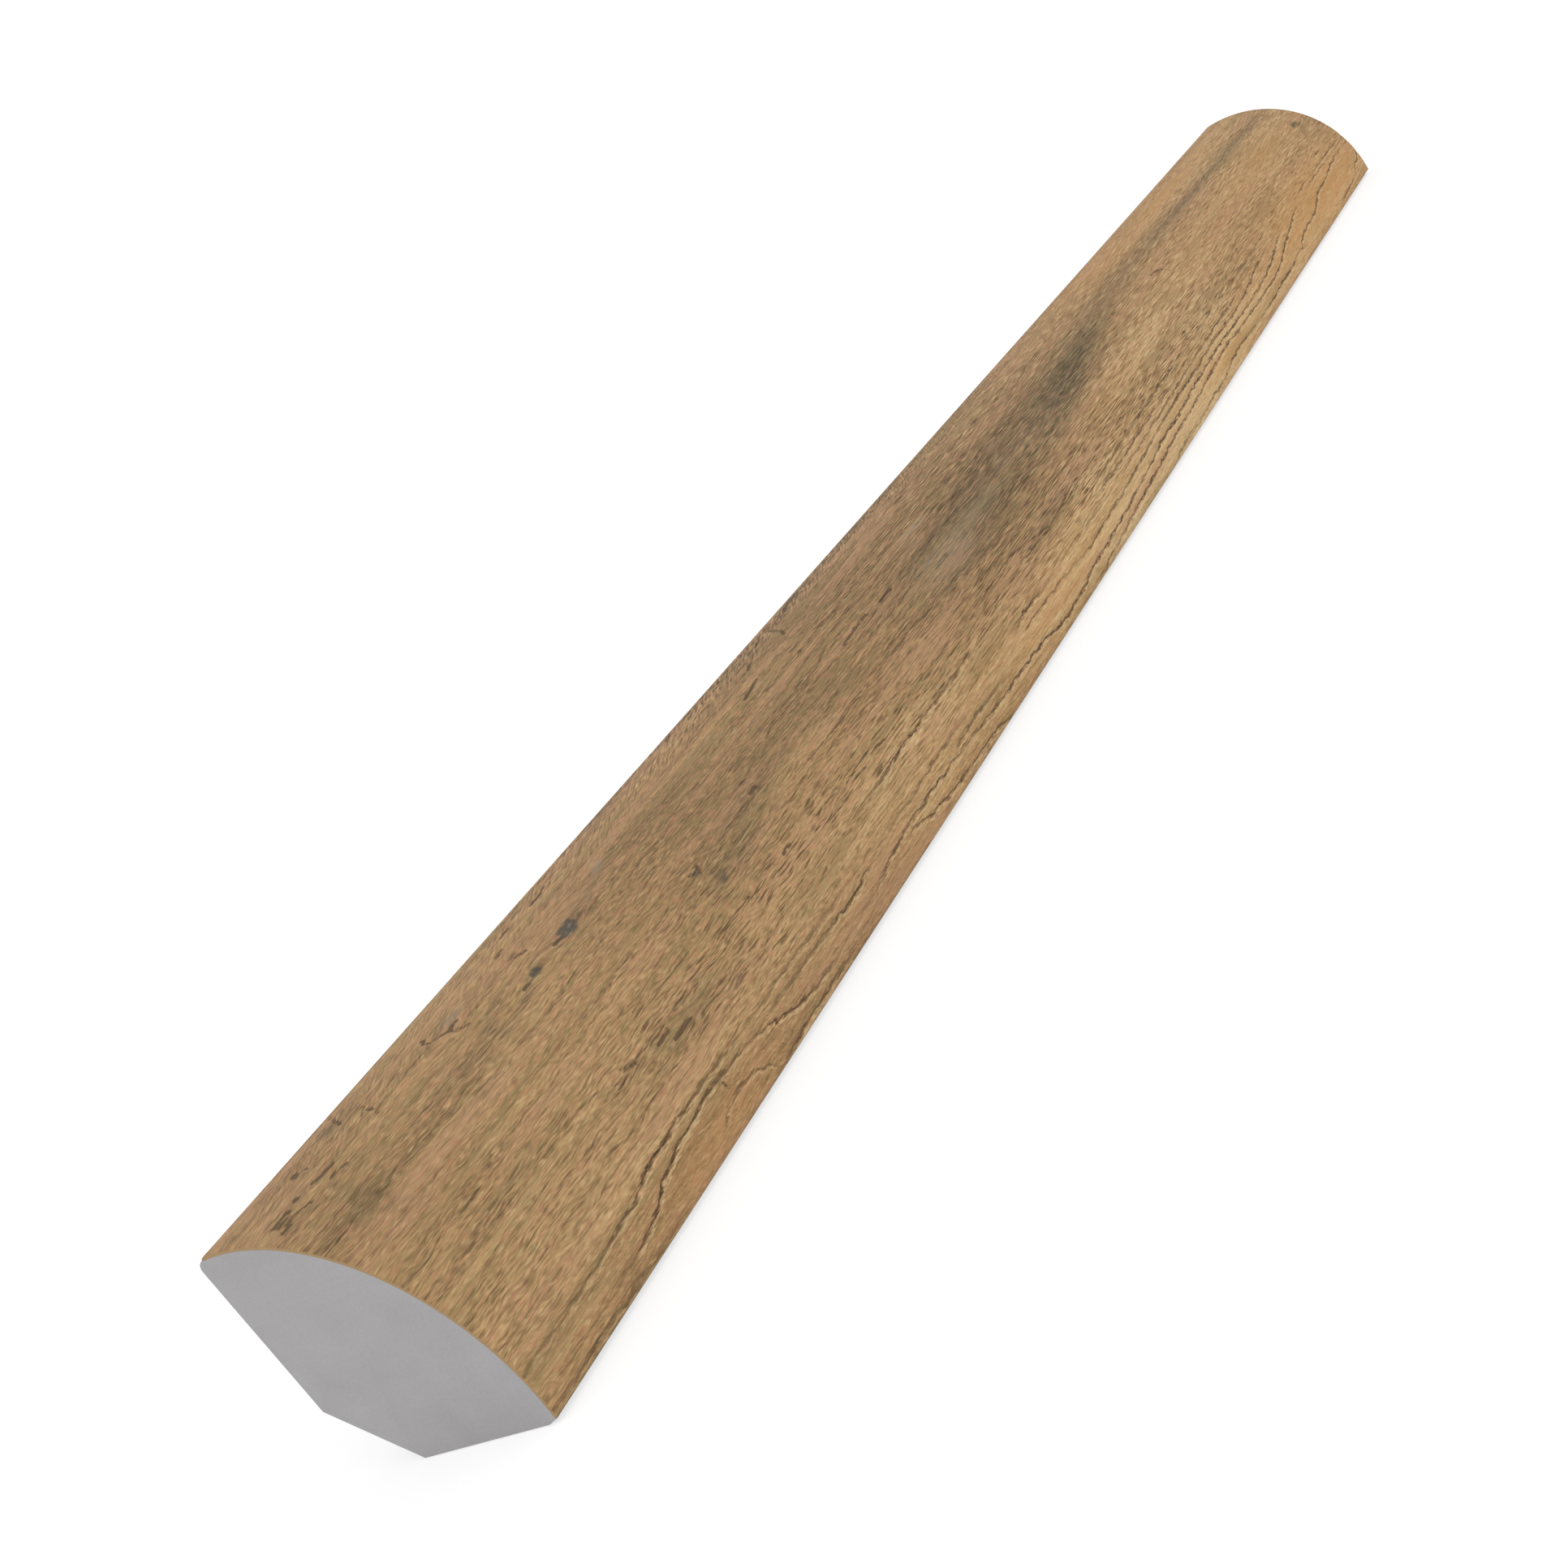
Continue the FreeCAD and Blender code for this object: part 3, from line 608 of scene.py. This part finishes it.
# Millimetres along and across the grain, slant in degrees, levels of finer detail, and contrast. The real
# print's fibres are finer still; these are as fine as the picture can show. Each pattern is shifted by more
# than the film's length, so that no two are alike.
pattern_shift = 400
patterns = {}
for name, run, width, slope, detail, contrast in (
    ("patches", 30, 2.2, 0, 1.0, 0.4),
    ("streaks", 30, 0.6, 0, 3.0, 0.9),
    ("long_fibres", 3.4, 0.11, 0, 1.0, 3.0),
    ("fibres", 2.0, 0.16, 0, 0.7, 1.55),
    ("ticks", 0.75, 0.16, 0, 0.3, 1.8),
    ("slanted", 2.0, 0.2, -24, 0.7, 1.7),
    ("steep", 2.0, 0.26, -50, 0.7, 1.4),
    ("hatched", 1.2, 0.18, 40, 0.3, 1.0),
    ("pores", 3.0, 0.17, 0, 1.0, 1.0),
    ("glints", 1.2, 0.14, 0, 0.7, 0.9),
    ("tints", 1.6, 0.2, 0, 0.7, 0.8),
    ("hues", 26, 1.8, 0, 1.0, 1.0),
    ("breaks", 1.7, 0.3, 0, 3.0, 1.0),
):
    pattern_place = add(
        nodes, "ShaderNodeMapping",
        {"Vector": grain, "Location": (-pattern_shift * len(patterns), 0, 0),
         "Rotation": (0, 0, math.radians(slope)), "Scale": (run, width, 1)},
        vector_type="TEXTURE")
    pattern = add(
        nodes, "ShaderNodeTexNoise",
        {"Vector": pattern_place, "Scale": 1.0, "Detail": detail, "Roughness": 0.65},
        noise_dimensions="2D")
    patterns[name] = add(
        nodes, "ShaderNodeMath", {0: pattern, 1: contrast, 2: 0.5 - contrast / 2}, operation="MULTIPLY_ADD")

# Towards the far end the fibres are longer, near the nose they run on a slant, and at the toe they cross
fibres = add(
    nodes, "ShaderNodeMix",
    {"Factor": 0.55, "A": patterns["fibres"], "B": patterns["ticks"]}, data_type="FLOAT")
for cover, pattern in (
    (fields["drawing"]["Z"], "long_fibres"), (fields["slopes"]["X"], "slanted"),
    (fields["slopes"]["Y"], "steep"), (fields["slopes"]["Z"], "hatched"),
):
    fibres = add(
        nodes, "ShaderNodeMix", {"Factor": cover, "A": fibres, "B": patterns[pattern]}, data_type="FLOAT")

# Light and dark of the wood, from the broad tone down to the fibres, which stand out more in dark streaks
grouped = add(
    nodes, "ShaderNodeMapRange", {"Value": patterns["streaks"], 1: 0.65, 2: 0.35, 3: 0.7, 4: 1.3})
fibre_depth = add(nodes, "ShaderNodeMath", {0: fields["drawing"]["Y"], 1: grouped}, operation="MULTIPLY")
depth = add(nodes, "ShaderNodeMath", {0: fibres, 1: 0.5}, operation="SUBTRACT")
depth = add(
    nodes, "ShaderNodeMath",
    {0: depth, 1: fibre_depth, 2: fields["drawing"]["X"]}, operation="MULTIPLY_ADD")
for pattern in ("patches", "streaks"):
    depth = add(nodes, "ShaderNodeMath", {0: depth, 1: patterns[pattern]}, operation="ADD")
depth = add(nodes, "ShaderNodeMapRange", {"Value": depth, 1: 0.23, 2: 1.73})
colour = add(nodes, "ShaderNodeValToRGB", {"Fac": depth})
shades = ("#4A3826", "#644D36", "#866A4A", "#A4835B", "#BD9A6C", "#CFAF80", "#E2C697")
for stop, shade in enumerate(shades):
    if stop in range(1, len(shades) - 1):
        colour.color_ramp.elements.new(stop / (len(shades) - 1))
    colour.color_ramp.elements[stop].color = linear(shade)

# Pinkish and olive patches and fibres, dark pores and cream glints between them
pore_share = add(nodes, "ShaderNodeMapRange", {"Value": fields["faults"]["Z"], 3: 0.3, 4: 0.95})
pore_share = add(nodes, "ShaderNodeMath", {0: pore_share, 1: grouped}, operation="MULTIPLY", use_clamp=True)
glinting = add(nodes, "ShaderNodeMapRange", {"Value": fields["drawing"]["Z"], 3: 0.45, 4: 0.0})
for pattern, low, high, most, shade in (
    ("hues", 0.48, 0.75, 0.65, "#B58E6B"),
    ("hues", 0.52, 0.25, 0.65, "#937B54"),
    ("tints", 0.52, 0.75, 0.6, "#BC8764"),
    ("tints", 0.48, 0.25, 0.5, "#857448"),
    ("pores", 0.57, 0.68, pore_share, "#54412B"),
    ("glints", 0.62, 0.75, glinting, "#D8B888"),
):
    share = add(nodes, "ShaderNodeMapRange", {"Value": patterns[pattern], 1: low, 2: high, 4: most})
    colour = add(
        nodes, "ShaderNodeMix",
        {"Factor": share, "A": colour, "B": linear(shade)}, data_type="RGBA")

# Stains lie over the wood as a thin bluish-grey glaze; they and the pale and warm patches are streaky
streaky = add(nodes, "ShaderNodeMath", {0: patterns["streaks"], 1: patterns["fibres"]}, operation="ADD")
streaky = add(nodes, "ShaderNodeMapRange", {"Value": streaky, 1: 0.75, 2: 1.25, 3: 1.1, 4: 0.55})
for part, blend, shade in (
    ("X", "MULTIPLY", "#A6B4BC"), ("Y", "MIX", "#A59A86"), ("Z", "MIX", "#C8965C"),
):
    share = add(
        nodes, "ShaderNodeMath",
        {0: fields["shading"][part], 1: streaky}, operation="MULTIPLY", use_clamp=True)
    colour = add(
        nodes, "ShaderNodeMix",
        {"Factor": share, "A": colour, "B": linear(shade)}, data_type="RGBA", blend_type=blend)

# Growth lines: a dark printed line, broken up by the fibres, with a painted highlight on its toe side where
# light would catch the pressed edge, in millimetres
line_break = 0.8
highlight_offset = 0.3
highlight_half_width = 0.15
sharp_middle = 0.02
broken = add(
    nodes, "ShaderNodeMath",
    {0: patterns["breaks"], 1: line_break, 2: -line_break / 2}, operation="MULTIPLY_ADD")
layers = {"painted_highlight": 0.0, "line": 0.0}
for number in range(len(growth_lines)):
    field = add(nodes, "ShaderNodeAttribute", attribute_name=f"growth_line_{number}")
    field = add(nodes, "ShaderNodeSeparateXYZ", {"Vector": field.outputs["Vector"]}).outputs
    gap = add(nodes, "ShaderNodeMath", {0: field["X"], 1: broken}, operation="ADD")
    for layer, offset, half_width in (("line", 0.0, line_half_width), ("painted_highlight", highlight_offset, highlight_half_width)):
        part = add(nodes, "ShaderNodeMath", {0: gap, 1: offset}, operation="SUBTRACT")
        part = add(nodes, "ShaderNodeMath", {0: part}, operation="ABSOLUTE")
        part = add(
            nodes, "ShaderNodeMapRange",
            {"Value": part, 1: half_width, 2: sharp_middle, 4: field["Y"]},
            interpolation_type="SMOOTHSTEP")
        layers[layer] = add(nodes, "ShaderNodeMath", {0: part, 1: layers[layer]}, operation="MAXIMUM")
# The lip layer is a painted highlight, cream where light would catch the pressed edge; the line layer is
# dark print
for layer, least, most, shade in (("painted_highlight", 0.2, 0.6, "#DBC092"), ("line", 0.7, 1.0, "#4B3927")):
    patchy = add(
        nodes, "ShaderNodeMapRange", {"Value": patterns["ticks"], 1: 0.1, 2: 0.7, 3: least, 4: most})
    share = add(nodes, "ShaderNodeMath", {0: layers[layer], 1: patchy}, operation="MULTIPLY")
    colour = add(
        nodes, "ShaderNodeMix",
        {"Factor": share, "A": colour, "B": linear(shade)}, data_type="RGBA")

# Cracks, knots and the paler hearts of the knots have edges that the fibres fray
fray = add(nodes, "ShaderNodeMath", {0: patterns["breaks"], 1: patterns["ticks"]}, operation="ADD")
for part, frayed, low, high, most, shade in (
    ("Y", 0.25, 0.69, 0.9, 0.8, "#4E3E2C"),
    ("X", 0.5, 0.3, 0.8, 0.85, "#4A4842"),
    ("X", 0.5, 0.85, 1.1, 0.6, "#7E786C"),
):
    share = add(
        nodes, "ShaderNodeMath", {0: fray, 1: frayed, 2: fields["faults"][part]}, operation="MULTIPLY_ADD")
    share = add(
        nodes, "ShaderNodeMapRange",
        {"Value": share, 1: low + frayed, 2: high + frayed, 4: most}, interpolation_type="SMOOTHSTEP")
    colour = add(
        nodes, "ShaderNodeMix",
        {"Factor": share, "A": colour, "B": linear(shade)}, data_type="RGBA")

# The print stops at the foil's cut edges, where its own tan body shows
cut = add(nodes, "ShaderNodeAttribute", attribute_name="on_face")
cut = add(nodes, "ShaderNodeMapRange", {"Value": cut.outputs["Fac"], 1: 1.0, 2: 0.8, 4: 0.9})
colour = add(
    nodes, "ShaderNodeMix",
    {"Factor": cut, "A": colour, "B": linear("#B0926A")}, data_type="RGBA")

# The pores are duller than the wood and lie below it, and the fibres stand up
dull = add(nodes, "ShaderNodeMapRange", {"Value": patterns["pores"], 1: 0.4, 2: 0.7, 3: 0.62, 4: 0.8})
height = add(nodes, "ShaderNodeMath", {0: fibres, 1: patterns["pores"]}, operation="SUBTRACT")
bump = add(nodes, "ShaderNodeBump", {"Height": height, "Strength": 0.6, "Distance": 0.06 * MM})
oak.node_tree.links.new(colour.outputs[2], shader.inputs["Base Color"])
oak.node_tree.links.new(dull.outputs[0], shader.inputs["Roughness"])
oak.node_tree.links.new(bump.outputs["Normal"], shader.inputs["Normal"])
film.data.materials.append(oak)

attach(film, "root")
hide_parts("wood_grain_film")


# Floor: a wide sheet of white studio paper. The camera sees it lit up to white, as in an overexposed
# studio sweep, and only the soft shadow round the moulding stays.

sheet_size = 12
paper_gap = 0.05 * MM
bpy.ops.object.select_all(action="DESELECT")
bpy.ops.mesh.primitive_plane_add(size=sheet_size)
floor = bpy.context.object
floor.name = "studio_paper"
floor.location.z = -paper_gap

# Matt white paper, which throws its light back on the moulding as it is but shows to the camera as white
paper = bpy.data.materials.new("white_studio_paper")
paper.use_nodes = True
nodes = paper.node_tree.nodes
nodes.remove(nodes["Principled BSDF"])
to_camera = add(nodes, "ShaderNodeLightPath").outputs["Is Camera Ray"]
sheet = add(nodes, "ShaderNodeBsdfDiffuse", {"Color": linear("#EEEEEE")})
shaded = add(nodes, "ShaderNodeBsdfDiffuse", {"Color": linear("#B0B0B0")})
glow = add(nodes, "ShaderNodeEmission", {"Strength": 0.65})
lit = add(nodes, "ShaderNodeAddShader", {0: shaded, 1: glow})
surface = add(nodes, "ShaderNodeMixShader", {0: to_camera, 1: sheet, 2: lit})
paper.node_tree.links.new(surface.outputs[0], nodes["Material Output"].inputs["Surface"])
floor.data.materials.append(paper)


# Light: a white studio, whose walls give soft light from all round and show white themselves. One softbox,
# half a metre wide, stands in front of the round face, a little above it, and gives that its shape.

wall_light = 0.92
wall_white = 1.0
world = bpy.data.worlds.new("white_studio")
world.use_nodes = True
scene.world = world
nodes = world.node_tree.nodes
path = add(nodes, "ShaderNodeLightPath")
seen = add(
    nodes, "ShaderNodeMath",
    {0: path.outputs["Is Camera Ray"], 1: path.outputs["Is Glossy Ray"]}, operation="MAXIMUM")
seen = add(nodes, "ShaderNodeMath", {0: seen, 1: path.outputs["Is Transmission Ray"]}, operation="MAXIMUM")
wall_strength = add(
    nodes, "ShaderNodeMix", {"Factor": seen, "A": wall_light, "B": wall_white}, data_type="FLOAT")
background = nodes["Background"]
background.inputs["Color"].default_value = (1, 1, 1, 1)
world.node_tree.links.new(wall_strength.outputs[0], background.inputs["Strength"])

softbox_width = 0.5
softbox_watts = 0.4
softbox_place = (-0.15, -0.5, 0.3)
softbox_data = bpy.data.lights.new("softbox", "AREA")
softbox_data.size = softbox_width
softbox_data.energy = softbox_watts
softbox = bpy.data.objects.new("softbox", softbox_data)
softbox.location = softbox_place
softbox.rotation_euler = (softbox.location * -1).to_track_quat("-Z", "Y").to_euler()
scene.collection.objects.link(softbox)


# Camera: a 50 mm lens on a 36 mm frame. It stands where the picture was taken from, worked back from the
# moulding's outline there: low in front of the near end, rolled over and looking along the round face.

camera_place = (-209.313 * MM, -113.511 * MM, 53.209 * MM)
camera_turn = (74.0118, 35.0062, -61.2304)
camera_data = bpy.data.cameras.new("photo_camera")
camera_data.lens = 50
camera_data.sensor_width = 36
camera_data.clip_start = 0.01
camera = bpy.data.objects.new("photo_camera", camera_data)
camera.location = camera_place
camera.rotation_euler = [math.radians(angle) for angle in camera_turn]
scene.collection.objects.link(camera)
scene.camera = camera
